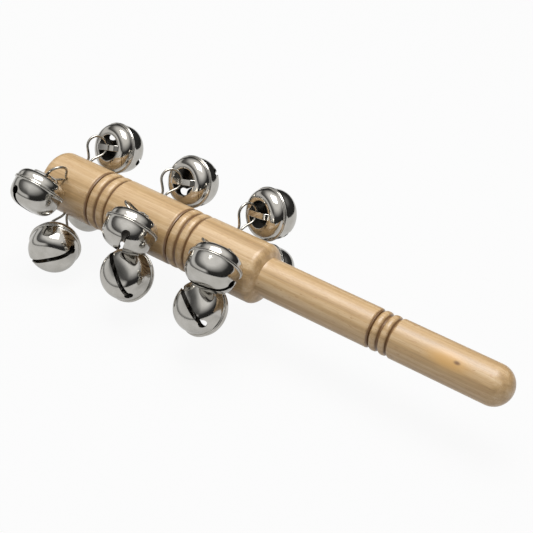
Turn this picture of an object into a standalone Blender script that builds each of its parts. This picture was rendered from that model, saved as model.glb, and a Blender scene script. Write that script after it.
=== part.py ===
"""Jingle stick: a turned wooden stick with four rows of pressed bells hanging from wire eyes.

Lengths are in metres. +X runs along the stick from its flat head end to the tip of the handle, +Z is up.
"""

import math

import bmesh
import bpy
from mathutils import Matrix, Vector

MM = 0.001

# The stick
LENGTH = 244.0 * MM
BARREL_LENGTH = 120.4 * MM
BARREL_RADIUS = 14.0 * MM
HANDLE_RADIUS = 9.0 * MM
HEAD_ROUNDING = 4.5 * MM
SHOULDER_LENGTH = 4.2 * MM
TIP_LENGTH = 8.7 * MM
BARREL_GROOVES = (30.2 * MM, 35.5 * MM, 40.9 * MM, 77.6 * MM, 82.7 * MM, 87.8 * MM)
HANDLE_GROOVES = (180.9 * MM, 185.3 * MM, 189.7 * MM)
GROOVE_WIDTH = 2.0 * MM
GROOVE_DEPTH = 0.9 * MM
STICK_STEPS = 24

# The eyes: wire bent to a ring on two legs, driven into drilled holes
STATIONS = {"head": 13.5 * MM, "middle": 59.3 * MM, "neck": 103.0 * MM}
ROW_ANGLE = {"upper_back": 45.0, "upper_front": 135.0, "lower_front": 225.0, "lower_back": 315.0}
ROW_SHIFT = {"upper_back": -1.3 * MM, "upper_front": 1.6 * MM, "lower_front": 1.0 * MM, "lower_back": 0.5 * MM}
WIRE_RADIUS = 0.6 * MM
RING_RADIUS = 4.85 * MM
RING_HEIGHT = BARREL_RADIUS + 7.95 * MM
LEG_SPREAD = 0.78 * MM
LEG_DEPTH = 10.4 * MM
HOLE_DEPTH = 11.0 * MM
HOLE_RADIUS = LEG_SPREAD + WIRE_RADIUS + 0.3 * MM

# The bells: a crown shell and a bowl shell, each with a flange, and a loose pellet
FLANGE_RADIUS = 12.45 * MM
SEAM_GAP = 0.3 * MM
FLANGE_THICKNESS = 0.6 * MM
BODY_RADIUS = 11.8 * MM
WALL = 0.5 * MM
CROWN_HEIGHT = 5.5 * MM
CROWN_FLAT_RADIUS = 7.5 * MM
CROWN_HOLE_RADIUS = 6.3 * MM
BOWL_DEPTH = 11.6 * MM
BOWL_FULLNESS = 3.2
STRAP_WIDTH = 2.8 * MM
STRAP_THICKNESS = 0.5 * MM
WIRE_TO_STRAP = 0.4 * MM
WIRE_HEIGHT = CROWN_HEIGHT + 0.3 * MM
SLOT_WIDTH = 1.6 * MM
SLOT_HOLE_RADIUS = 2.0 * MM
SLOT_HOLE_ANGLE = 25.0
PELLET_RADIUS = 3.2 * MM
BELL_STEPS = 16

# How each bell lies, in degrees and millimetres: the ring's twist about its legs, where on the ring
# the strap bears (0 is the ring's outer end), how far along the strap, the bell's tilt from the row's
# outward line and the way it tilts (0 is towards the handle), and the slot's turn about the bell
BELLS = {
    ("upper_back", "head"): (52, 68, -0.3, 70, 80, 151),
    ("upper_back", "middle"): (43, 73, -0.5, 68, 82, 32),
    ("upper_back", "neck"): (65, 66, -0.9, 64, 70, 132),
    ("upper_front", "head"): (54, -74, 0.8, 86, -90, 63),
    ("upper_front", "middle"): (-25, 62, 2.0, 82, -85, 143),
    ("upper_front", "neck"): (-18, 65, 3.8, 76, -82, 27),
    ("lower_front", "head"): (-8, 38, 1.0, 47, 51, 89),
    ("lower_front", "middle"): (29, 60, -2.4, 80, 90, 17),
    ("lower_front", "neck"): (45, 67, -3.4, 87, 105, 11),
    ("lower_back", "head"): (22, -61, 1.6, 70, 132, 51),
    ("lower_back", "middle"): (-15, 18, -3.2, 20, -46, 123),
    ("lower_back", "neck"): (-17, 32, -3.4, 32, -24, 94),
}

MATERIALS = {
    "beech": ((0.80, 0.64, 0.44), 0.45, 0.0),
    "nickel_wire": ((0.55, 0.54, 0.52), 0.25, 1.0),
    "nickel_crown": ((0.80, 0.80, 0.79), 0.12, 1.0),
    "nickel_bowl": ((0.78, 0.78, 0.78), 0.14, 1.0),
    "steel_pellet": ((0.50, 0.50, 0.51), 0.35, 1.0),
}


def clear_scene():
    for obj in list(bpy.data.objects):
        bpy.data.objects.remove(obj, do_unlink=True)


def make_collection(name, hidden=False):
    collection = bpy.data.collections.new(name)
    bpy.context.scene.collection.children.link(collection)
    collection.hide_render = hidden
    return collection


def make_material(name):
    colour, roughness, metallic = MATERIALS[name]
    material = bpy.data.materials.new(name)
    material.use_nodes = True
    shader = material.node_tree.nodes["Principled BSDF"]
    shader.inputs["Base Color"].default_value = (*colour, 1.0)
    shader.inputs["Roughness"].default_value = roughness
    shader.inputs["Metallic"].default_value = metallic
    material.diffuse_color = (*colour, 1.0)
    return material


def add_object(name, mesh, collection, material=None):
    obj = bpy.data.objects.new(name, mesh)
    collection.objects.link(obj)
    if material is not None:
        obj.data.materials.append(material)
    return obj


def shade_smooth(mesh):
    for face in mesh.polygons:
        face.use_smooth = True


def lathe(name, profile, steps, collection, material=None):
    """Turns a closed profile of (radius, height) pairs, outer side first, about the object's Z axis."""
    mesh = bpy.data.meshes.new(name)
    points = [(radius, 0.0, height) for radius, height in profile]
    closed = profile[0][0] > 0.0
    count = len(points)
    edges = [(i, (i + 1) % count) for i in range(count if closed else count - 1)]
    mesh.from_pydata(points, edges, [])
    obj = add_object(name, mesh, collection, material)
    screw = obj.modifiers.new("lathe", "SCREW")
    screw.axis = "Z"
    screw.angle = math.tau
    screw.steps = steps
    screw.render_steps = steps
    screw.use_merge_vertices = True
    screw.merge_threshold = 0.00002
    screw.use_smooth_shade = True
    return obj


def baked(obj):
    """The object's mesh with its modifiers applied."""
    bpy.context.view_layer.update()
    graph = bpy.context.evaluated_depsgraph_get()
    mesh = bpy.data.meshes.new_from_object(obj.evaluated_get(graph))
    mesh.name = obj.name
    return mesh


def cylinder_into(bm, radius, start, end, segments):
    """Adds a closed cylinder between two points."""
    axis = end - start
    matrix = Matrix.Translation((start + end) / 2) @ axis.to_track_quat("Z", "Y").to_matrix().to_4x4()
    bmesh.ops.create_cone(
        bm,
        cap_ends=True,
        segments=segments,
        radius1=radius,
        radius2=radius,
        depth=axis.length,
        matrix=matrix,
    )


def row_direction(row):
    angle = math.radians(ROW_ANGLE[row])
    return Vector((0.0, math.cos(angle), math.sin(angle)))


def station_of(row, station):
    return Vector((STATIONS[station] + ROW_SHIFT[row], 0.0, 0.0))


# The stick

def groove(centre, radius):
    """A shallow groove, from its handle side to its head side."""
    half = GROOVE_WIDTH / 2
    return [
        (radius, centre + half),
        (radius - GROOVE_DEPTH, centre + 0.2 * half),
        (radius - GROOVE_DEPTH, centre - 0.2 * half),
        (radius, centre - half),
    ]


def stick_profile():
    """(radius, distance from the head end), from the tip of the handle to the head."""
    profile = [(0.0, LENGTH)]
    for degrees in (18, 36, 54, 72, 90):
        angle = math.radians(degrees)
        profile.append((HANDLE_RADIUS * math.sin(angle), LENGTH - TIP_LENGTH * (1 - math.cos(angle))))
    for centre in reversed(HANDLE_GROOVES):
        profile += groove(centre, HANDLE_RADIUS)
    step = BARREL_RADIUS - HANDLE_RADIUS
    shoulder = BARREL_LENGTH + SHOULDER_LENGTH
    profile.append((HANDLE_RADIUS, shoulder + 0.4 * MM))
    profile.append((HANDLE_RADIUS + 0.1 * step, shoulder))
    for degrees in (60, 38, 18, 0):
        angle = math.radians(degrees)
        outward = step * (1 - 0.8 * (1 - math.cos(angle)) / (1 - math.cos(math.radians(75))))
        along = SHOULDER_LENGTH * math.sin(angle)
        profile.append((HANDLE_RADIUS + outward, BARREL_LENGTH + along))
    for centre in reversed(BARREL_GROOVES):
        profile += groove(centre, BARREL_RADIUS)
    for degrees in (0, 25, 50, 75, 90):
        angle = math.radians(degrees)
        radius = BARREL_RADIUS - HEAD_ROUNDING * (1 - math.cos(angle))
        profile.append((radius, HEAD_ROUNDING * (1 - math.sin(angle))))
    profile.append((0.0, 0.0))
    return profile


def build_stick(parts, cutters, material):
    stick = lathe("stick", stick_profile(), STICK_STEPS, parts, material)
    stick.rotation_euler = (0.0, math.radians(90.0), 0.0)
    bm = bmesh.new()
    for row, station in BELLS:
        outward = row_direction(row)
        foot = station_of(row, station)
        start = foot + outward * (BARREL_RADIUS - HOLE_DEPTH)
        cylinder_into(bm, HOLE_RADIUS, start, foot + outward * (BARREL_RADIUS + 4 * MM), 12)
    mesh = bpy.data.meshes.new("eye_holes")
    bm.to_mesh(mesh)
    bm.free()
    holes = add_object("eye_holes", mesh, cutters)
    holes.display_type = "WIRE"
    holes.hide_render = True
    cut = stick.modifiers.new("eye_holes", "BOOLEAN")
    cut.operation = "DIFFERENCE"
    cut.solver = "EXACT"
    cut.object = holes


# The eyes

def eye_path():
    """(across, outward) points of the wire, up one leg, round the ring and down the other."""
    foot = BARREL_RADIUS - LEG_DEPTH
    leg = [(LEG_SPREAD, foot), (LEG_SPREAD, BARREL_RADIUS + 0.7 * MM), (LEG_SPREAD + 0.45 * MM, BARREL_RADIUS + 2.4 * MM)]
    ring = []
    turns = 13
    opening = 23.0
    for i in range(turns + 1):
        angle = math.radians(-180.0 + opening + (360.0 - 2 * opening) * i / turns)
        ring.append((RING_RADIUS * math.sin(angle), RING_HEIGHT + RING_RADIUS * math.cos(angle)))
    left = [(-across, outward) for across, outward in leg]
    return left + ring + leg[::-1]


def ring_frame(row, twist):
    """The ring's own directions: across the eye, and outward along its legs."""
    outward = row_direction(row)
    along = Vector((1.0, 0.0, 0.0))
    angle = math.radians(twist)
    across = math.cos(angle) * along + math.sin(angle) * outward.cross(along)
    return across, outward


def build_eye(row, station, parts, material):
    across, outward = ring_frame(row, BELLS[row, station][0])
    curve = bpy.data.curves.new(f"wire_eye_{row}_{station}", "CURVE")
    curve.dimensions = "3D"
    curve.bevel_depth = WIRE_RADIUS
    curve.bevel_resolution = 1
    curve.use_fill_caps = True
    path = eye_path()
    spline = curve.splines.new("POLY")
    spline.points.add(len(path) - 1)
    for point, (x, z) in zip(spline.points, path):
        point.co = (x, 0.0, z, 1.0)
        point.tilt = 0.0
    spline.use_smooth = True
    eye = add_object(curve.name, curve, parts, material)
    frame = Matrix((across, outward.cross(across), outward)).transposed().to_4x4()
    eye.matrix_world = Matrix.Translation(station_of(row, station)) @ frame
    return eye


# The bells

def crown_profile():
    low = SEAM_GAP / 2
    inner = BODY_RADIUS - WALL
    rise = CROWN_HEIGHT - low
    return [
        (CROWN_HOLE_RADIUS, CROWN_HEIGHT - 0.05 * MM),
        (CROWN_FLAT_RADIUS, CROWN_HEIGHT),
        (CROWN_FLAT_RADIUS + 2.5 * MM, low + 0.75 * rise),
        (BODY_RADIUS, low + FLANGE_THICKNESS + 0.15 * MM),
        (FLANGE_RADIUS, low + FLANGE_THICKNESS),
        (FLANGE_RADIUS, low),
        (inner, low),
        (CROWN_FLAT_RADIUS + 2.1 * MM, low + 0.67 * rise),
        (CROWN_FLAT_RADIUS - 0.1 * MM, CROWN_HEIGHT - WALL),
        (CROWN_HOLE_RADIUS, CROWN_HEIGHT - WALL - 0.05 * MM),
    ]


def bowl_curve(radius, depth, degrees):
    """A point of the bowl's full-bellied section: (radius, height), 0 at its rim and 90 at its bottom."""
    angle = math.radians(degrees)
    power = 2.0 / BOWL_FULLNESS
    return radius * max(math.cos(angle), 0.0) ** power, -depth * math.sin(angle) ** power


def bowl_profile():
    high = -SEAM_GAP / 2
    inner_radius = BODY_RADIUS - WALL
    inner_depth = BOWL_DEPTH - WALL
    outer = [bowl_curve(BODY_RADIUS, BOWL_DEPTH, degrees) for degrees in (18, 42, 66)]
    inner = [bowl_curve(inner_radius, inner_depth, degrees) for degrees in (64, 36)]
    return [
        (0.0, -inner_depth),
        *inner,
        (inner_radius, high),
        (FLANGE_RADIUS, high),
        (FLANGE_RADIUS, high - FLANGE_THICKNESS),
        (BODY_RADIUS, high - FLANGE_THICKNESS - 0.15 * MM),
        *outer,
        (0.0, -BOWL_DEPTH),
    ]


def strap_mesh():
    """The raised strap across the crown hole, as a bent strip that ends inside the crown."""
    clear = WIRE_HEIGHT + WIRE_RADIUS + WIRE_TO_STRAP
    under = [
        (-CROWN_FLAT_RADIUS + 0.5 * MM, CROWN_HEIGHT - 0.35 * MM),
        (-CROWN_HOLE_RADIUS + 0.9 * MM, clear),
        (0.0, clear + 0.15 * MM),
    ]
    under += [(-x, z) for x, z in reversed(under[:-1])]
    over = []
    for x, z in under:
        outward = 0.2 * x / CROWN_HOLE_RADIUS
        over.append((x * (1 + 0.07 * abs(outward)) + outward * STRAP_THICKNESS, z + STRAP_THICKNESS))
    over[0] = (under[0][0] - 0.45 * MM, under[0][1] + 0.2 * MM)
    over[-1] = (-over[0][0], over[0][1])
    bm = bmesh.new()
    rows = []
    for y in (-STRAP_WIDTH / 2, STRAP_WIDTH / 2):
        outline = under + over[::-1]
        rows.append([bm.verts.new((x, y, z)) for x, z in outline])
    near = bm.faces.new(rows[0])
    far = bm.faces.new(rows[1][::-1])
    bmesh.ops.bridge_loops(bm, edges=list(near.edges) + list(far.edges))
    bmesh.ops.recalc_face_normals(bm, faces=bm.faces)
    mesh = bpy.data.meshes.new("strap")
    bm.to_mesh(mesh)
    bm.free()
    return mesh


def crown_mesh(cutters):
    crown = lathe("crown_blank", crown_profile(), BELL_STEPS, cutters)
    strap = add_object("strap", strap_mesh(), cutters)
    join = crown.modifiers.new("strap", "BOOLEAN")
    join.operation = "UNION"
    join.solver = "EXACT"
    join.object = strap
    mesh = baked(crown)
    bpy.data.objects.remove(crown)
    bpy.data.objects.remove(strap)
    return mesh


def bowl_mesh(cutters):
    """The bowl with its slot along X, ending in a round hole at each side."""
    bowl = lathe("bowl_blank", bowl_profile(), BELL_STEPS, cutters)
    radius, height = bowl_curve(BODY_RADIUS, BOWL_DEPTH, SLOT_HOLE_ANGLE)
    tilt = math.radians(SLOT_HOLE_ANGLE)
    bm = bmesh.new()
    for side in (-1.0, 1.0):
        centre = Vector((side * radius, 0.0, height))
        outward = Vector((side * math.cos(tilt), 0.0, -math.sin(tilt)))
        cylinder_into(bm, SLOT_HOLE_RADIUS, centre - outward * 3 * MM, centre + outward * 3 * MM, 12)
    holes_mesh = bpy.data.meshes.new("slot_holes")
    bm.to_mesh(holes_mesh)
    bm.free()
    slot_bm = bmesh.new()
    size = Vector((2 * radius, SLOT_WIDTH, BOWL_DEPTH + height + 2 * MM))
    middle = Vector((0.0, 0.0, height - size.z / 2))
    bmesh.ops.create_cube(slot_bm, size=1.0, matrix=Matrix.Translation(middle) @ Matrix.Diagonal((*size, 1.0)))
    slot_mesh = bpy.data.meshes.new("slot")
    slot_bm.to_mesh(slot_mesh)
    slot_bm.free()
    holes = add_object("slot_holes", holes_mesh, cutters)
    slot = add_object("slot", slot_mesh, cutters)
    for cutter in (holes, slot):
        cut = bowl.modifiers.new(cutter.name, "BOOLEAN")
        cut.operation = "DIFFERENCE"
        cut.solver = "EXACT"
        cut.object = cutter
    mesh = baked(bowl)
    for obj in (bowl, holes, slot):
        bpy.data.objects.remove(obj)
    return mesh


def bell_frame(row, station):
    """The bell's directions (strap, across, up through the crown), its bearing point and the slide."""
    twist, around, slide, tilt, heading, _ = BELLS[row, station]
    across, outward = ring_frame(row, twist)
    angle = math.radians(around)
    ring_centre = station_of(row, station) + outward * RING_HEIGHT
    bearing = ring_centre + RING_RADIUS * (math.cos(angle) * outward + math.sin(angle) * across)
    wire = math.cos(angle) * across - math.sin(angle) * outward
    along = Vector((1.0, 0.0, 0.0))
    lean = math.radians(heading)
    sideways = math.cos(lean) * along + math.sin(lean) * outward.cross(along)
    down = math.cos(math.radians(tilt)) * outward + math.sin(math.radians(tilt)) * sideways
    strap = down.cross(wire).normalized()
    up = -down
    return strap, up.cross(strap), up, bearing, slide * MM, wire


def pellet_offset(up, strap, across):
    """Where the pellet lies in the bowl, from the bell's centre: as low as it gets."""
    reach = BODY_RADIUS - WALL - PELLET_RADIUS - 0.9 * MM
    depth = BOWL_DEPTH - WALL - PELLET_RADIUS - 0.9 * MM
    down = Vector((0.0, 0.0, -1.0))
    sideways = down - up * down.dot(up)
    if sideways.length > 0.001:
        sideways.normalize()
    else:
        sideways = strap
    share = math.degrees(math.atan2(-down.dot(up), down.dot(sideways)))
    share = min(max(share, 35.0), 80.0)
    out, height = bowl_curve(reach, depth, share)
    return sideways * out + up * height


def build_bell(row, station, crown, bowl, parts, materials):
    strap, across, up, bearing, slide, _ = bell_frame(row, station)
    rotation = Matrix((strap, across, up)).transposed().to_4x4()
    hinge = bpy.data.objects.new(f"hinge_{row}_{station}", None)
    hinge.empty_display_size = 0.01
    parts.objects.link(hinge)
    hinge.matrix_world = Matrix.Translation(bearing) @ rotation
    offset = Vector((slide, 0.0, -WIRE_HEIGHT))
    crown_shell = add_object(f"crown_shell_{row}_{station}", crown.copy(), parts, materials["nickel_crown"])
    bowl_shell = add_object(f"bowl_shell_{row}_{station}", bowl.copy(), parts, materials["nickel_bowl"])
    for shell in (crown_shell, bowl_shell):
        shell.parent = hinge
        shell.location = offset
        shade_smooth(shell.data)
    bowl_shell.rotation_euler = (0.0, 0.0, math.radians(BELLS[row, station][5]))
    bm = bmesh.new()
    bmesh.ops.create_icosphere(bm, subdivisions=2, radius=PELLET_RADIUS)
    mesh = bpy.data.meshes.new(f"pellet_{row}_{station}")
    bm.to_mesh(mesh)
    bm.free()
    shade_smooth(mesh)
    pellet = add_object(mesh.name, mesh, parts, materials["steel_pellet"])
    pivot = bpy.data.objects.new(f"roll_{row}_{station}", None)
    pivot.empty_display_size = 0.01
    parts.objects.link(pivot)
    pivot.parent = hinge
    pivot.location = offset
    pellet.parent = pivot
    pellet.location = rotation.to_3x3().transposed() @ pellet_offset(up, strap, across)


def build():
    clear_scene()
    parts = make_collection("jingle_stick")
    cutters = make_collection("cutters", hidden=True)
    materials = {name: make_material(name) for name in MATERIALS}
    build_stick(parts, cutters, materials["beech"])
    crown = crown_mesh(cutters)
    bowl = bowl_mesh(cutters)
    for row, station in BELLS:
        build_eye(row, station, parts, materials["nickel_wire"])
        build_bell(row, station, crown, bowl, parts, materials)


build()
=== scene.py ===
"""Looks of the jingle stick: varnished beech with nickel-plated pressed bells on wire eyes.

Lengths are in metres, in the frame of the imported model: +X along the stick to the tip of its handle, +Z up.
"""

import math

import bmesh
import bpy
from mathutils import Matrix, Vector


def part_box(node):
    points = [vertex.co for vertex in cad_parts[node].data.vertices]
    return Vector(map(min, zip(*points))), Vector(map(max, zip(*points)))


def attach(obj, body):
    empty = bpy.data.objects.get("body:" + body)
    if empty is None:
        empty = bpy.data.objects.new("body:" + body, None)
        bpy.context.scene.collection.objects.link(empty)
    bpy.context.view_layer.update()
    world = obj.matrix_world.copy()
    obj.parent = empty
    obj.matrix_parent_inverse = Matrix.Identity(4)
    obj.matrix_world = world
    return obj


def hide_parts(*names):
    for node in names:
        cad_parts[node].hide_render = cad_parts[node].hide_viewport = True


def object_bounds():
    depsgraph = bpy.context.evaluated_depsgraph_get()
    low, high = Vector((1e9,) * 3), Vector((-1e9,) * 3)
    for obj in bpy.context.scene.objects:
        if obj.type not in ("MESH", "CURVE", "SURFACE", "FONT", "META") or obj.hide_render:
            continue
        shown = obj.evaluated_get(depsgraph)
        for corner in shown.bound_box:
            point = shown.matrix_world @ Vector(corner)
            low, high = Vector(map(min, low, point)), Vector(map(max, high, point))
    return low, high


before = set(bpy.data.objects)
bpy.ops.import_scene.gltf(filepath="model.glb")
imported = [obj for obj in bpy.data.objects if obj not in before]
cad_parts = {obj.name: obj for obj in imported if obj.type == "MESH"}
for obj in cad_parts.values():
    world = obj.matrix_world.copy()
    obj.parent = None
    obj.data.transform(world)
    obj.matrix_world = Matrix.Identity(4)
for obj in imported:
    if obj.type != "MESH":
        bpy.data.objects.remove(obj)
CAD_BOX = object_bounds()

MM = 0.001

# The stick
LENGTH = 244.0 * MM
BARREL_LENGTH = 120.4 * MM
BARREL_RADIUS = 14.0 * MM
HANDLE_RADIUS = 9.0 * MM
HEAD_ROUNDING = 4.5 * MM
SHOULDER_LENGTH = 4.2 * MM
SHOULDER_REACH = 5.397 * MM
SHOULDER_EDGE = 0.6 * MM
SHOULDER_FOOT = 0.1 * MM
TIP_LENGTH = 8.7 * MM
BARREL_GROOVES = (30.2 * MM, 35.5 * MM, 40.9 * MM, 77.6 * MM, 82.7 * MM, 87.8 * MM)
HANDLE_GROOVES = (180.9 * MM, 185.3 * MM, 189.7 * MM)
GROOVE_WIDTH = 2.7 * MM
GROOVE_DEPTH = 0.75 * MM
BEAD_ROUNDING = 0.8 * MM
BEAD_LIMIT = 6.0 * MM
STICK_STEPS = 160
FIRST_SECTION = 0.3 * MM
FINE_SECTION = 0.2 * MM
COARSE_SECTION = 1.5 * MM
GROOVE_NEAR = 3.0 * MM

# Marks in the wood: the middle of each and its half-sizes
AMBER_STAIN = ((216.5 * MM, -6.2 * MM, 6.3 * MM), (14.0 * MM, 7.0 * MM, 4.5 * MM))
DARK_KNOT = ((220.5 * MM, -5.8 * MM, 6.8 * MM), (2.2 * MM, 1.2 * MM, 1.2 * MM))
BARREL_FLECK = ((52.0 * MM, -11.8 * MM, 7.0 * MM), (2.1 * MM, 1.2 * MM, 1.2 * MM))

# The eyes
STATIONS = {"head": 13.5 * MM, "middle": 59.3 * MM, "neck": 103.0 * MM}
ROW_ANGLE = {"upper_back": 45.0, "upper_front": 135.0, "lower_front": 225.0, "lower_back": 315.0}
ROW_SHIFT = {
    "upper_back": -1.3 * MM,
    "upper_front": 1.6 * MM,
    "lower_front": 1.0 * MM,
    "lower_back": 0.5 * MM,
}
WIRE_RADIUS = 0.6 * MM
RING_RADIUS = 4.85 * MM
RING_HEIGHT = BARREL_RADIUS + 7.95 * MM
RING_TURNS = 26
NECK_HEIGHT = 1.2 * MM
LEG_SPREAD = 0.78 * MM
LEG_DEPTH = 10.4 * MM
LEG_SHARES = (0.0, 0.3, 0.6, 0.85, 1.0)
PILOT_RADIUS = 0.68 * MM
PILOT_CLEARANCE = 0.3 * MM
DRILL_RUNOUT = 2.0 * MM

# The bells
FLANGE_RADIUS = 12.45 * MM
SEAM_GAP = 0.12 * MM
FLANGE_THICKNESS = 0.62 * MM
BODY_RADIUS = 11.8 * MM
WALL = 0.45 * MM
CROWN_HEIGHT = 5.5 * MM
CROWN_FLAT_RADIUS = 7.4 * MM
CROWN_INSET = 0.1 * MM
CROWN_HOLE_RADIUS = 6.3 * MM
BOWL_DEPTH = 11.6 * MM
BOWL_FULLNESS = 3.2
BOWL_TURNS = 26
STRAP_WIDTH = 2.8 * MM
STRAP_THICKNESS = 0.5 * MM
STRAP_CLEARANCE = 0.12 * MM
STRAP_SHOULDER = 5.3 * MM
STRAP_OVERLAP = 0.2 * MM
STRAP_ARCH = 0.18 * MM
STRAP_SINK = 0.04 * MM
STRAP_BEVEL = 0.1 * MM
STRAP_TURNS = 40
WIRE_HEIGHT = CROWN_HEIGHT + 0.3 * MM
SLOT_WIDTH = 2.1 * MM
SLOT_HOLE_RADIUS = 2.0 * MM
SLOT_HOLE_ANGLE = 25.0
HOLE_RUNOUT = 3.0 * MM
SLOT_RUNOUT = 2.0 * MM
PELLET_RADIUS = 3.2 * MM
BELL_STEPS = 96

# The crown hole's rolled edge, as distances out from the hole and down from the crown's top
HOLE_EDGE = ((0.0, 0.30 * MM), (0.05 * MM, 0.12 * MM), (0.2 * MM, 0.03 * MM), (0.45 * MM, 0.0))

# The fillet between a bell's body and a flange, as distances out from the body and away from the flange
FILLET = ((0.0, 0.25 * MM), (0.06 * MM, 0.08 * MM), (0.22 * MM, 0.0))
FILLET_END = 0.4 * MM

# Faces whose normals point back at the bell's centre by more than this share are its inside, which gets
# painted shade
INSIDE_SHARE = 0.3

# How each bell lies: the ring's twist, the bearing point round the ring, the slide along the strap
# in millimetres, the tilt from the row's outward line, its heading, and the slot's turn, in degrees
BELLS = {
    ("upper_back", "head"): (52, 68, -0.3, 70, 80, 151),
    ("upper_back", "middle"): (43, 73, -0.5, 68, 82, 32),
    ("upper_back", "neck"): (65, 66, -0.9, 64, 70, 132),
    ("upper_front", "head"): (54, -74, 0.8, 86, -90, 63),
    ("upper_front", "middle"): (-25, 62, 2.0, 82, -85, 143),
    ("upper_front", "neck"): (-18, 65, 3.8, 76, -82, 27),
    ("lower_front", "head"): (-8, 38, 1.0, 47, 51, 89),
    ("lower_front", "middle"): (29, 60, -2.4, 80, 90, 17),
    ("lower_front", "neck"): (45, 67, -3.4, 87, 105, 11),
    ("lower_back", "head"): (22, -61, 1.6, 70, 132, 51),
    ("lower_back", "middle"): (-15, 18, -3.2, 20, -46, 123),
    ("lower_back", "neck"): (-17, 32, -3.4, 32, -24, 94),
}

# The camera, fitted to the photograph
CAMERA_PLACE = Vector((0.35155, -0.35874, 0.31082))
CAMERA_RIGHT = Vector((0.8152, 0.5752, 0.0676))
CAMERA_UP = Vector((-0.3821, 0.4465, 0.8091))
CAMERA_BACK = Vector((0.4352, -0.6855, 0.5837))
CAMERA_LENS = 81.05

# The studio: the table under the lowest bell, the lamp overhead, and the room that polished metal sees,
# as grey tones by height from the horizon at 0 to straight up at 1, with windows on one side
TABLE_SIZE = 0.9
TABLE_DROP = 0.2 * MM
LAMP_PLACE = Vector((0.05, 0.1, 1.1))
LAMP_SIZE = 0.7
LAMP_POWER = 13.0
DAYLIGHT = 0.46
WINDOW_SIDE = Vector((-0.80, -0.60, 0.0))
WINDOW_START = 0.35
WINDOW_FULL = 0.62
ROOM_TONES = ((0.02, "#2E2E2E"), (0.34, "#3A3A3A"), (0.52, "#A0A0A0"), (0.80, "#FFFFFF"))
WINDOW_TONES = (
    (0.02, "#8A8A8A"),
    (0.12, "#E8E8E8"),
    (0.30, "#E0E0E0"),
    (0.37, "#484848"),
    (0.56, "#7C7C7C"),
    (0.82, "#FFFFFF"),
)


def linear(hex_colour):
    """An sRGB hex colour as linear red, green, blue and alpha."""
    parts = [int(hex_colour[i:i + 2], 16) / 255 for i in (1, 3, 5)]
    return (*[c / 12.92 if c <= 0.04045 else ((c + 0.055) / 1.055) ** 2.4 for c in parts], 1.0)


def add_node(tree, kind, settings=None, inputs=None, links=None):
    """Adds a node with its settings, its inputs' values and what is linked into them."""
    node = tree.nodes.new(kind)
    for name, value in (settings or {}).items():
        setattr(node, name, value)
    for name, value in (inputs or {}).items():
        node.inputs[name].default_value = value
    for name, socket in (links or {}).items():
        tree.links.new(socket, node.inputs[name])
    return node


def new_material(name):
    """A material with an empty tree but for its Principled shader, and its object coordinates."""
    material = bpy.data.materials.new(name)
    material.use_nodes = True
    tree = material.node_tree
    shader = tree.nodes["Principled BSDF"]
    place = tree.nodes.new("ShaderNodeTexCoord").outputs["Object"]
    return material, tree, shader, place


def ramp(tree, factor, stops):
    """A colour ramp with (position, hex colour) stops."""
    node = add_node(tree, "ShaderNodeValToRGB", links={"Fac": factor})
    elements = node.color_ramp.elements
    for element, (position, colour) in zip(elements, (stops[0], stops[-1])):
        element.position = position
        element.color = linear(colour)
    for position, colour in stops[1:-1]:
        elements.new(position).color = linear(colour)
    return node.outputs["Color"]


def spot(tree, place, centre, sizes):
    """1 at a point of the surface, falling to 0 at the given half-sizes around it."""
    moved = add_node(tree, "ShaderNodeVectorMath", {"operation": "SUBTRACT"}, {1: centre}, {0: place})
    offset = moved.outputs[0]
    scaled = add_node(tree, "ShaderNodeVectorMath", {"operation": "DIVIDE"}, {1: sizes}, {0: offset})
    length = add_node(tree, "ShaderNodeVectorMath", {"operation": "LENGTH"}, links={0: scaled.outputs[0]})
    return add_node(
        tree,
        "ShaderNodeMapRange",
        {"interpolation_type": "SMOOTHSTEP"},
        {"From Min": 1.0, "From Max": 0.2, "To Min": 0.0, "To Max": 1.0},
        {"Value": length.outputs["Value"]},
    ).outputs["Result"]


def mix_colour(tree, factor, first, second, blend="MIX"):
    """Two colours mixed; a colour is a socket or a hex value."""
    node = add_node(tree, "ShaderNodeMix", {"data_type": "RGBA", "blend_type": blend})
    for name, kind, value in (("Factor", "VALUE", factor), ("A", "RGBA", first), ("B", "RGBA", second)):
        socket = next(s for s in node.inputs if s.name == name and s.type == kind)
        if isinstance(value, str):
            socket.default_value = linear(value)
        elif isinstance(value, float):
            socket.default_value = value
        else:
            tree.links.new(value, socket)
    return next(s for s in node.outputs if s.type == "RGBA")


def along_grain(tree, place, along, across, detail, roughness):
    """Noise drawn out along the stick, by its scale along and across the grain."""
    scale = {"Scale": (along, across, across)}
    drawn_out = add_node(tree, "ShaderNodeMapping", inputs=scale, links={"Vector": place})
    look = {"Scale": 1.0, "Detail": detail, "Roughness": roughness}
    noise = add_node(tree, "ShaderNodeTexNoise", inputs=look, links={"Vector": drawn_out.outputs["Vector"]})
    return noise.outputs["Fac"]


def roughen(tree, shader, height, strength, distance):
    """Gives the shader a bumpy surface from a height that varies between 0 and 1."""
    depth = {"Strength": strength, "Distance": distance}
    bump = add_node(tree, "ShaderNodeBump", inputs=depth, links={"Height": height})
    tree.links.new(bump.outputs["Normal"], shader.inputs["Normal"])


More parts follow.
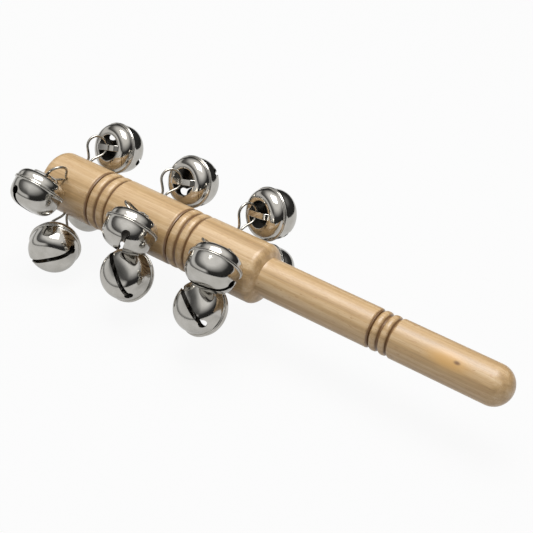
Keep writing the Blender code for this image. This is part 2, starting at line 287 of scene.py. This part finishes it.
def varnished_beech():
    """Beech, turned, with burnt grooves and a clear satin varnish: pale straw with fine brown flecks
    drawn out along the stick, faint growth bands and a soft highlight."""
    material, tree, shader, place = new_material("varnished_beech")
    # Growth bands about 3 mm apart
    bands = along_grain(tree, place, 6.0, 330.0, 4.0, 0.6)
    wood = ramp(tree, bands, ((0.30, "#A0825A"), (0.5, "#BF9F72"), (0.70, "#D2B892")))
    # Fibres about 0.25 mm wide and 8 mm long
    fibres = along_grain(tree, place, 120.0, 3800.0, 3.0, 0.7)
    fibre_tone = ramp(tree, fibres, ((0.3, "#C9B08C"), (0.55, "#FFFFFF"), (0.9, "#FFFFFF")))
    wood = mix_colour(tree, 0.45, wood, fibre_tone, "MULTIPLY")
    # Beech's ray flecks: short brown dashes about 0.5 mm wide and 2 to 3 mm long
    flecks = along_grain(tree, place, 380.0, 1900.0, 1.0, 0.4)
    fleck_mask = ramp(tree, flecks, ((0.66, "#000000"), (0.73, "#FFFFFF")))
    wood = mix_colour(tree, fleck_mask, wood, "#AF8A60")
    # An amber stain near the tip of the handle, with a small dark knot, and a fleck on the barrel
    for mark, colour in ((AMBER_STAIN, "#C99F63"), (DARK_KNOT, "#7C5A35"), (BARREL_FLECK, "#B4793F")):
        wood = mix_colour(tree, spot(tree, place, *mark), wood, colour)
    # The grooves' burn lies where the burn attribute says, with a ragged edge that varies over 2 to 3 mm
    burn = add_node(tree, "ShaderNodeAttribute", {"attribute_name": "burn"}).outputs["Fac"]
    frayed = {"Scale": 420.0, "Detail": 3.0}
    ragged = add_node(tree, "ShaderNodeTexNoise", inputs=frayed, links={"Vector": place})
    burnt = add_node(tree, "ShaderNodeMath", {"operation": "MULTIPLY_ADD", "use_clamp": True}, {1: 0.5},
                     {0: ragged.outputs["Fac"], 2: burn})
    burn_mask = ramp(tree, burnt.outputs[0], ((0.50, "#000000"), (0.88, "#FFFFFF")))
    wood = mix_colour(tree, burn_mask, wood, "#7A5A38")
    tree.links.new(wood, shader.inputs["Base Color"])
    roughen(tree, shader, fibres, 0.12, 0.1 * MM)
    shader.inputs["Roughness"].default_value = 0.42
    shader.inputs["Coat Weight"].default_value = 0.5
    shader.inputs["Coat Roughness"].default_value = 0.3
    return material


def nickel(name, pale, dull, roughness):
    """Steel pressed and nickel plated: a warm grey mirror, a little uneven, with faint wipe marks."""
    material, tree, shader, place = new_material(name)
    # Wipe marks about 4.5 mm across
    wiped = {"Scale": 220.0, "Detail": 3.0, "Roughness": 0.55}
    cloud = add_node(tree, "ShaderNodeTexNoise", inputs=wiped, links={"Vector": place}).outputs["Fac"]
    tree.links.new(ramp(tree, cloud, ((0.3, dull), (0.7, pale))), shader.inputs["Base Color"])
    uneven = {"To Min": roughness * 0.8, "To Max": roughness * 1.3}
    rough = add_node(tree, "ShaderNodeMapRange", inputs=uneven, links={"Value": cloud})
    tree.links.new(rough.outputs["Result"], shader.inputs["Roughness"])
    # Plating grain about 0.15 mm across, drawn as coarse as it needs to show
    fine = {"Scale": 6500.0, "Detail": 2.0}
    grain = add_node(tree, "ShaderNodeTexNoise", inputs=fine, links={"Vector": place})
    roughen(tree, shader, grain.outputs["Fac"], 0.05, 0.02 * MM)
    shader.inputs["Metallic"].default_value = 1.0
    return material


def steel_shot():
    """A cast steel ball, tumbled but not plated: dull grey with dents about 1 mm across."""
    material, tree, shader, place = new_material("steel_shot")
    dented = {"Scale": 900.0, "Detail": 3.0}
    dents = add_node(tree, "ShaderNodeTexNoise", inputs=dented, links={"Vector": place}).outputs["Fac"]
    tree.links.new(ramp(tree, dents, ((0.3, "#6A6864"), (0.7, "#8E8C88"))), shader.inputs["Base Color"])
    roughen(tree, shader, dents, 0.4, 0.1 * MM)
    shader.inputs["Metallic"].default_value = 1.0
    shader.inputs["Roughness"].default_value = 0.42
    return material


def mesh_piece(name, bm, materials, body, node, sharp=35.0):
    """Makes the piece of a finished bmesh, with edges sharp past an angle in degrees, ties it to its
    body and hides the imported part of the node it stands for."""
    mesh = bpy.data.meshes.new(name)
    bm.to_mesh(mesh)
    bm.free()
    for face in mesh.polygons:
        face.use_smooth = True
    mesh.set_sharp_from_angle(angle=math.radians(sharp))
    for material in materials:
        mesh.materials.append(material)
    piece = bpy.data.objects.new(name, mesh)
    bpy.context.scene.collection.objects.link(piece)
    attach(piece, body)
    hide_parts(node)
    return piece


def arc(middle, reach, first, last, parts):
    """(radius, height) points of an ellipse's arc between two angles in degrees."""
    points = []
    for i in range(parts + 1):
        angle = math.radians(first + (last - first) * i / parts)
        points.append((middle[0] + reach[0] * math.cos(angle), middle[1] + reach[1] * math.sin(angle)))
    return points


def turned(profile, axis, steps):
    """A bmesh turned from (radius, distance along the axis) points; a section off the axis is closed."""
    bm = bmesh.new()
    across = Vector((0.0, 1.0, 0.0)) if axis.x else Vector((1.0, 0.0, 0.0))
    verts = [bm.verts.new(across * radius + axis * along) for radius, along in profile]
    edges = [bm.edges.new(pair) for pair in zip(verts, verts[1:])]
    if profile[0][0] > 0.0:
        edges.append(bm.edges.new((verts[-1], verts[0])))
    bmesh.ops.spin(bm, geom=verts + edges, cent=(0, 0, 0), axis=axis, angle=math.tau, steps=steps,
                   use_merge=True)
    bmesh.ops.remove_doubles(bm, verts=bm.verts, dist=0.002 * MM)
    bmesh.ops.dissolve_degenerate(bm, dist=0.001 * MM, edges=bm.edges)
    bmesh.ops.recalc_face_normals(bm, faces=bm.faces)
    return bm


def cut_by(bm, cutters):
    """The bmesh with the cutters, a bmesh of closed shapes, taken out of it."""
    objects = []
    for name, source in (("blank", bm), ("cutters", cutters)):
        mesh = bpy.data.meshes.new(name)
        source.to_mesh(mesh)
        source.free()
        obj = bpy.data.objects.new(name, mesh)
        bpy.context.scene.collection.objects.link(obj)
        objects.append(obj)
    blank, tool = objects
    cut = blank.modifiers.new("cut", "BOOLEAN")
    cut.operation = "DIFFERENCE"
    cut.solver = "EXACT"
    cut.object = tool
    bpy.context.view_layer.update()
    graph = bpy.context.evaluated_depsgraph_get()
    result = bmesh.new()
    result.from_mesh(blank.evaluated_get(graph).to_mesh())
    for obj in objects:
        bpy.data.objects.remove(obj)
    return result


def rod_into(bm, radius, start, end, segments):
    """Adds a closed cylinder between two points."""
    axis = end - start
    matrix = Matrix.Translation((start + end) / 2) @ axis.to_track_quat("Z", "Y").to_matrix().to_4x4()
    bmesh.ops.create_cone(bm, cap_ends=True, segments=segments, radius1=radius, radius2=radius,
                          depth=axis.length, matrix=matrix)


# The stick

def groove_share(along, centre):
    """1 at the bottom of a groove and 0 at its edges."""
    offset = abs(along - centre) / (GROOVE_WIDTH / 2)
    return (1 + math.cos(math.pi * offset)) / 2 if offset < 1 else 0.0


def bead_fall(along, grooves):
    """How far a bead between two neighbouring grooves has fallen away from its top."""
    for first, second in zip(grooves, grooves[1:]):
        if first < along < second and second - first < BEAD_LIMIT:
            share = abs((2 * along - first - second) / (second - first))
            return BEAD_ROUNDING * share ** 2
    return 0.0


def stick_radius(along, radius, grooves):
    depth = max(groove_share(along, centre) for centre in grooves) * GROOVE_DEPTH
    return radius - depth - bead_fall(along, grooves)


def sections_along(start, end, grooves):
    """Places along the stick for its sections: close together in and beside the grooves, else far apart."""
    places = [start]
    while places[-1] < end:
        near = min(abs(places[-1] - centre) for centre in grooves)
        places.append(places[-1] + (FINE_SECTION if near < GROOVE_NEAR else COARSE_SECTION))
    return places[:-1] + [end]


def grooved(start, end, radius, grooves):
    """The profile of a straight length of the stick with its grooves and beads."""
    return [(stick_radius(along, radius, grooves), along) for along in sections_along(start, end, grooves)]


def stick_profile():
    """(radius, distance from the head end), from the head to the tip of the handle."""
    head = (BARREL_RADIUS - HEAD_ROUNDING, HEAD_ROUNDING)
    profile = [(0.0, 0.0)]
    profile += arc(head, (HEAD_ROUNDING, -HEAD_ROUNDING), 90, 0, 15)
    profile += grooved(HEAD_ROUNDING + FIRST_SECTION, BARREL_LENGTH, BARREL_RADIUS, BARREL_GROOVES)
    # The shoulder rounds over, falls steeply and meets the handle in a small fillet
    rounding = (BARREL_RADIUS - SHOULDER_REACH, BARREL_LENGTH)
    profile += arc(rounding, (SHOULDER_REACH, SHOULDER_LENGTH), 5, 65, 12)
    shoulder = BARREL_LENGTH + SHOULDER_LENGTH
    profile.append((HANDLE_RADIUS + SHOULDER_EDGE, shoulder))
    profile.append((HANDLE_RADIUS + SHOULDER_FOOT, shoulder + 2 * SHOULDER_FOOT))
    tip = LENGTH - TIP_LENGTH
    profile += grooved(shoulder + SHOULDER_EDGE, tip, HANDLE_RADIUS, HANDLE_GROOVES)
    profile += arc((0.0, tip), (HANDLE_RADIUS, TIP_LENGTH), 6, 84, 13)
    profile.append((0.0, LENGTH))
    return profile


def row_direction(row):
    angle = math.radians(ROW_ANGLE[row])
    return Vector((0.0, math.cos(angle), math.sin(angle)))


def station_of(row, station):
    return Vector((STATIONS[station] + ROW_SHIFT[row], 0.0, 0.0))


def ring_frame(row, twist):
    """The ring's own directions: across the eye, and outward along its legs."""
    outward = row_direction(row)
    along = Vector((1.0, 0.0, 0.0))
    angle = math.radians(twist)
    return math.cos(angle) * along + math.sin(angle) * outward.cross(along), outward


def build_stick(material):
    """The stick with a pilot hole for each leg of each eye."""
    bm = turned(stick_profile(), Vector((1.0, 0.0, 0.0)), STICK_STEPS)
    holes = bmesh.new()
    bottom = BARREL_RADIUS - LEG_DEPTH - PILOT_CLEARANCE
    top = BARREL_RADIUS + DRILL_RUNOUT
    for (row, station), (twist, *_) in BELLS.items():
        across, outward = ring_frame(row, twist)
        for side in (-1.0, 1.0):
            foot = station_of(row, station) + across * side * LEG_SPREAD
            rod_into(holes, PILOT_RADIUS, foot + outward * bottom, foot + outward * top, segments=16)
    bm = cut_by(bm, holes)
    layer = bm.verts.layers.float.new("burn")
    grooves = BARREL_GROOVES + HANDLE_GROOVES
    for vert in bm.verts:
        vert[layer] = max(groove_share(vert.co.x, centre) for centre in grooves)
    mesh_piece("turned_stick", bm, [material], "stick", "stick", sharp=50.0)


# The eyes

def eye_path():
    """(across, outward) points of the wire, up one leg, round the ring and down the other."""
    foot = BARREL_RADIUS - LEG_DEPTH
    neck = BARREL_RADIUS + NECK_HEIGHT
    leg = [(LEG_SPREAD, foot + (neck - foot) * share) for share in LEG_SHARES]
    # The ring stays open where the wire runs straight from the neck to it
    opening = math.degrees(math.acos((RING_RADIUS - LEG_SPREAD) / (RING_HEIGHT - neck)))
    ring = []
    for i in range(RING_TURNS + 1):
        angle = math.radians(-180.0 + opening + (360.0 - 2 * opening) * i / RING_TURNS)
        ring.append((RING_RADIUS * math.sin(angle), RING_HEIGHT + RING_RADIUS * math.cos(angle)))
    return [(-across, outward) for across, outward in leg] + ring + leg[::-1]


def build_eye(row, station, material):
    """One wire bent round a mandrel and drawn in to two legs."""
    across, outward = ring_frame(row, BELLS[row, station][0])
    origin = station_of(row, station)
    curve = bpy.data.curves.new("wire", "CURVE")
    curve.dimensions = "3D"
    curve.bevel_depth = WIRE_RADIUS
    curve.bevel_resolution = 3
    curve.resolution_u = 3
    curve.use_fill_caps = True
    spline = curve.splines.new("NURBS")
    path = eye_path()
    spline.points.add(len(path) - 1)
    for point, (x, z) in zip(spline.points, path):
        point.co = (*(origin + across * x + outward * z), 1.0)
    spline.order_u = 4
    spline.use_endpoint_u = True
    wire = bpy.data.objects.new("wire", curve)
    bpy.context.scene.collection.objects.link(wire)
    bpy.context.view_layer.update()
    bm = bmesh.new()
    bm.from_mesh(wire.evaluated_get(bpy.context.evaluated_depsgraph_get()).to_mesh())
    bmesh.ops.recalc_face_normals(bm, faces=bm.faces)
    bpy.data.objects.remove(wire)
    name = f"{row}_{station}"
    mesh_piece(f"bent_eye_{name}", bm, [material], "stick", f"wire_eye_{name}", sharp=60.0)


# The bells

def rounded_rim(outer, low, high):
    """A flange's outer edge as a half round, from its upper face to its lower one."""
    half = (high - low) / 2
    return arc((outer - half, (high + low) / 2), (half, -half), -90, 90, 6)


def flange_fillet(face, side):
    """The fillet from the body out to a flange's face, which looks up where side is 1 and down where -1."""
    return [(BODY_RADIUS + out, face + side * away) for out, away in FILLET]


def crown_profile():
    """The crown's section, from the hole's rim over the outside to the seam and back up the inside."""
    low = SEAM_GAP / 2
    top = low + FLANGE_THICKNESS
    fillet = flange_fillet(top, 1.0)
    base = fillet[0][1]
    profile = [(CROWN_HOLE_RADIUS + out, CROWN_HEIGHT - down) for out, down in HOLE_EDGE]
    # The outside's curve ends where the fillet starts
    outside = (BODY_RADIUS - CROWN_FLAT_RADIUS, CROWN_HEIGHT - base)
    profile += arc((CROWN_FLAT_RADIUS, base), outside, 90, 0, 18)
    profile += fillet[1:]
    profile += rounded_rim(FLANGE_RADIUS, low, top)
    inner = BODY_RADIUS - WALL
    profile.append((inner, low))
    flat = CROWN_FLAT_RADIUS - CROWN_INSET
    profile += arc((flat, base), (inner - flat, CROWN_HEIGHT - WALL - base), 0, 90, 10)
    profile.append((CROWN_HOLE_RADIUS + CROWN_INSET, CROWN_HEIGHT - WALL))
    return profile


def bowl_curve(radius, depth, degrees):
    """A point of the bowl's full-bellied section: (radius, height), 0 at its rim and 90 at its bottom."""
    angle = math.radians(degrees)
    power = 2.0 / BOWL_FULLNESS
    return radius * max(math.cos(angle), 0.0) ** power, -depth * math.sin(angle) ** power


def bowl_profile():
    """The bowl's section, from the bottom of the inside up to the seam and down the outside."""
    high = -SEAM_GAP / 2
    low = high - FLANGE_THICKNESS
    inner_radius = BODY_RADIUS - WALL
    inner_depth = BOWL_DEPTH - WALL
    turn = [90.0 - 90.0 * (i / BOWL_TURNS) for i in range(1, BOWL_TURNS)]
    profile = [(0.0, -inner_depth)]
    profile += [bowl_curve(inner_radius, inner_depth, degrees) for degrees in turn]
    profile.append((inner_radius, high))
    profile += rounded_rim(FLANGE_RADIUS, low, high)
    profile += flange_fillet(low, -1.0)[::-1]
    outer = [bowl_curve(BODY_RADIUS, BOWL_DEPTH, degrees) for degrees in reversed(turn)]
    profile += [point for point in outer if point[1] < low - FILLET_END]
    profile.append((0.0, -BOWL_DEPTH))
    return profile


def strap_path():
    """(along, height) points of the strap's underside, from one foot over the wire to the other."""
    under = WIRE_HEIGHT + WIRE_RADIUS + STRAP_CLEARANCE
    foot = CROWN_FLAT_RADIUS + STRAP_OVERLAP
    low = CROWN_HEIGHT - STRAP_THICKNESS - STRAP_SINK
    path = []
    for i in range(STRAP_TURNS + 1):
        along = foot * (2 * i / STRAP_TURNS - 1)
        share = min(max((foot - abs(along)) / (foot - STRAP_SHOULDER), 0.0), 1.0)
        rise = share * share * (3 - 2 * share)
        arch = STRAP_ARCH * (1 - min(abs(along) / STRAP_SHOULDER, 1.0) ** 2)
        path.append((along, low + (under - low) * rise + arch))
    return path


def strap_section():
    """(across, up) points round the strap's section, a strip with bevelled edges."""
    half = STRAP_WIDTH / 2
    flat = half - STRAP_BEVEL
    side = STRAP_THICKNESS - STRAP_BEVEL
    right = [(flat, 0.0), (half, STRAP_BEVEL), (half, side), (flat, STRAP_THICKNESS)]
    return right + [(-across, up) for across, up in reversed(right)]


def strap_into(bm):
    """Adds the raised strap: a strip pressed up out of the crown, bent over the wire."""
    path = strap_path()
    start, height = path[0]
    verts = [bm.verts.new((start, across, height + up)) for across, up in strap_section()]
    loop = [bm.edges.new(pair) for pair in zip(verts, verts[1:] + verts[:1])]
    bmesh.ops.edgeloop_fill(bm, edges=loop)
    for here, there in zip(path, path[1:]):
        drawn = bmesh.ops.extrude_edge_only(bm, edges=loop)["geom"]
        verts = [item for item in drawn if isinstance(item, bmesh.types.BMVert)]
        loop = [item for item in drawn if isinstance(item, bmesh.types.BMEdge) and item.is_boundary]
        bmesh.ops.translate(bm, verts=verts, vec=(there[0] - here[0], 0.0, there[1] - here[1]))
    bmesh.ops.edgeloop_fill(bm, edges=loop)
    bmesh.ops.recalc_face_normals(bm, faces=bm.faces)


def paint_shade_inside(bm):
    """Gives the faces that look at the bell's centre the second material: painted shade, a dark grey that
    makes the inside read black through the slot.
    """
    for face in bm.faces:
        if face.normal.dot(face.calc_center_median().normalized()) < -INSIDE_SHARE:
            face.material_index = 1


def crown_blank():
    bm = turned(crown_profile(), Vector((0.0, 0.0, 1.0)), BELL_STEPS)
    paint_shade_inside(bm)
    strap_into(bm)
    return bm


def bowl_blank():
    """The bowl with its slot along X, ending in a round hole at each side."""
    bm = turned(bowl_profile(), Vector((0.0, 0.0, 1.0)), BELL_STEPS)
    radius, height = bowl_curve(BODY_RADIUS, BOWL_DEPTH, SLOT_HOLE_ANGLE)
    tilt = math.radians(SLOT_HOLE_ANGLE)
    for side in (-1.0, 1.0):
        centre = Vector((side * radius, 0.0, height))
        outward = Vector((side * math.cos(tilt), 0.0, -math.sin(tilt)))
        hole = bmesh.new()
        runout = outward * HOLE_RUNOUT
        rod_into(hole, SLOT_HOLE_RADIUS, centre - runout, centre + runout, segments=32)
        bm = cut_by(bm, hole)
    slot = bmesh.new()
    size = Vector((2 * radius, SLOT_WIDTH, BOWL_DEPTH + height + SLOT_RUNOUT))
    middle = Vector((0.0, 0.0, height - size.z / 2))
    bmesh.ops.create_cube(slot, size=1.0, matrix=Matrix.Translation(middle) @ Matrix.Diagonal((*size, 1.0)))
    bm = cut_by(bm, slot)
    paint_shade_inside(bm)
    return bm


def bell_place(row, station):
    """The bell's own frame at rest: x along the strap, z up through the crown, origin at its centre."""
    twist, around, slide, tilt, heading, _ = BELLS[row, station]
    across, outward = ring_frame(row, twist)
    angle = math.radians(around)
    ring_centre = station_of(row, station) + outward * RING_HEIGHT
    bearing = ring_centre + RING_RADIUS * (math.cos(angle) * outward + math.sin(angle) * across)
    wire = math.cos(angle) * across - math.sin(angle) * outward
    along = Vector((1.0, 0.0, 0.0))
    lean = math.radians(heading)
    sideways = math.cos(lean) * along + math.sin(lean) * outward.cross(along)
    down = math.cos(math.radians(tilt)) * outward + math.sin(math.radians(tilt)) * sideways
    strap = down.cross(wire).normalized()
    up = -down
    turn = Matrix((strap, up.cross(strap), up)).transposed().to_4x4()
    return Matrix.Translation(bearing + strap * slide * MM - up * WIRE_HEIGHT) @ turn


def build_bell(row, station, crown, bowl, materials):
    """The bell's two shells at its place, and the shot where the solid pellet lies."""
    name = f"{row}_{station}"
    body = f"bell_{name}"
    place = bell_place(row, station)
    *_, slot_turn = BELLS[row, station]
    shell = crown.copy()
    shell.transform(place)
    outside_and_shaded_inside = [materials["crown"], materials["inside"]]
    mesh_piece(f"pressed_crown_{name}", shell, outside_and_shaded_inside, body, f"crown_shell_{name}")
    shell = bowl.copy()
    shell.transform(place @ Matrix.Rotation(math.radians(slot_turn), 4, "Z"))
    outside_and_shaded_inside = [materials["bowl"], materials["inside"]]
    mesh_piece(f"pressed_bowl_{name}", shell, outside_and_shaded_inside, body, f"bowl_shell_{name}")
    low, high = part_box(f"pellet_{name}")
    body = f"pellet_body_{name}"
    centre = Matrix.Translation((low + high) / 2)
    ball = bmesh.new()
    bmesh.ops.create_icosphere(ball, subdivisions=4, radius=PELLET_RADIUS, matrix=centre)
    mesh_piece(f"shot_{name}", ball, [materials["shot"]], body, f"pellet_{name}")


# The studio

def seen_white(tree, shade, plain, polished):
    """Plain white, by the given shares, to the camera and in polished metal, over the given shader."""
    path = add_node(tree, "ShaderNodeLightPath")
    either = add_node(tree, "ShaderNodeMath", {"operation": "MAXIMUM"},
                      links={0: path.outputs["Is Camera Ray"], 1: path.outputs["Is Transmission Ray"]})
    seen = add_node(tree, "ShaderNodeMath", {"operation": "MULTIPLY"}, {1: plain}, {0: either.outputs[0]})
    glossy = add_node(tree, "ShaderNodeMath", {"operation": "MULTIPLY"}, {1: polished},
                      {0: path.outputs["Is Glossy Ray"]})
    share = add_node(tree, "ShaderNodeMath", {"operation": "MAXIMUM"},
                     links={0: seen.outputs[0], 1: glossy.outputs[0]})
    white = add_node(tree, "ShaderNodeEmission", inputs={"Color": (1, 1, 1, 1), "Strength": 1.0})
    return add_node(tree, "ShaderNodeMixShader", links={0: share.outputs[0], 1: shade, 2: white.outputs[0]})


def build_world():
    """An even white world, which polished metal sees as a room: dark near the horizon, light overhead,
    with windows low on one side."""
    world = bpy.data.worlds.new("studio")
    bpy.context.scene.world = world
    world.use_nodes = True
    tree = world.node_tree
    tree.nodes.clear()
    place = add_node(tree, "ShaderNodeTexCoord").outputs["Generated"]
    height = add_node(tree, "ShaderNodeSeparateXYZ", links={0: place}).outputs["Z"]
    room = ramp(tree, height, ROOM_TONES)
    windows = ramp(tree, height, WINDOW_TONES)
    towards = add_node(tree, "ShaderNodeVectorMath", {"operation": "DOT_PRODUCT"}, {1: WINDOW_SIDE},
                       {0: place})
    near_window = add_node(tree, "ShaderNodeMapRange", {"interpolation_type": "SMOOTHSTEP"},
                           {"From Min": WINDOW_START, "From Max": WINDOW_FULL},
                           {"Value": towards.outputs["Value"]})
    around = mix_colour(tree, near_window.outputs["Result"], room, windows)
    glossy = add_node(tree, "ShaderNodeBackground", links={"Color": around})
    plain = add_node(tree, "ShaderNodeBackground", inputs={"Color": (1, 1, 1, 1), "Strength": DAYLIGHT})
    path = add_node(tree, "ShaderNodeLightPath")
    lit = add_node(tree, "ShaderNodeMixShader",
                   links={0: path.outputs["Is Glossy Ray"], 1: plain.outputs[0], 2: glossy.outputs[0]})
    white = seen_white(tree, lit.outputs[0], plain=1.0, polished=0.0)
    add_node(tree, "ShaderNodeOutputWorld", links={"Surface": white.outputs[0]})


def build_table():
    """A matt white table top just under the lowest bell."""
    material = bpy.data.materials.new("white_table")
    material.use_nodes = True
    tree = material.node_tree
    tree.nodes.clear()
    matt = add_node(tree, "ShaderNodeBsdfDiffuse", inputs={"Color": linear("#B4B4B4")})
    white = seen_white(tree, matt.outputs[0], plain=0.93, polished=0.55)
    add_node(tree, "ShaderNodeOutputMaterial", links={"Surface": white.outputs[0]})
    bm = bmesh.new()
    middle = Matrix.Translation((LENGTH / 2, 0.0, CAD_BOX[0].z - TABLE_DROP))
    bmesh.ops.create_grid(bm, x_segments=1, y_segments=1, size=TABLE_SIZE / 2, matrix=middle)
    mesh = bpy.data.meshes.new("table")
    bm.to_mesh(mesh)
    bm.free()
    mesh.materials.append(material)
    table = bpy.data.objects.new("table", mesh)
    bpy.context.scene.collection.objects.link(table)


def build_lamp():
    """A square soft lamp overhead that looks at the middle of the stick."""
    data = bpy.data.lights.new("overhead_lamp", "AREA")
    data.shape = "SQUARE"
    data.size = LAMP_SIZE
    data.energy = LAMP_POWER
    lamp = bpy.data.objects.new("overhead_lamp", data)
    bpy.context.scene.collection.objects.link(lamp)
    lamp.location = LAMP_PLACE
    lamp.rotation_mode = "QUATERNION"
    lamp.rotation_quaternion = (LAMP_PLACE - Vector((LENGTH / 2, 0, 0))).to_track_quat("Z", "Y")


def build_camera():
    data = bpy.data.cameras.new("camera")
    data.lens = CAMERA_LENS
    data.clip_start = 0.01
    data.clip_end = 20.0
    camera = bpy.data.objects.new("camera", data)
    bpy.context.scene.collection.objects.link(camera)
    turn = Matrix((CAMERA_RIGHT, CAMERA_UP, CAMERA_BACK)).transposed()
    camera.rotation_mode = "QUATERNION"
    camera.rotation_quaternion = turn.to_quaternion()
    camera.location = CAMERA_PLACE
    bpy.context.scene.camera = camera


def build():
    materials = {
        "crown": nickel("nickel_plated_crown", "#C9C5BE", "#B9B5AD", 0.10),
        "bowl": nickel("nickel_plated_bowl", "#C7C4BE", "#B7B4AD", 0.11),
        # Painted shade: the inside of the shells is a dark grey far below the plating's own, so the slot and
        # seam read black
        "inside": nickel("nickel_painted_shade_inside", "#6E6B66", "#5A5752", 0.3),
        "shot": steel_shot(),
    }
    build_stick(varnished_beech())
    wire = nickel("nickel_plated_wire", "#B5B0A6", "#9D988F", 0.16)
    crown = crown_blank()
    bowl = bowl_blank()
    for row, station in BELLS:
        build_eye(row, station, wire)
        build_bell(row, station, crown, bowl, materials)
    build_world()
    build_table()
    build_lamp()
    build_camera()
    bpy.context.scene.view_settings.view_transform = "Standard"


build()
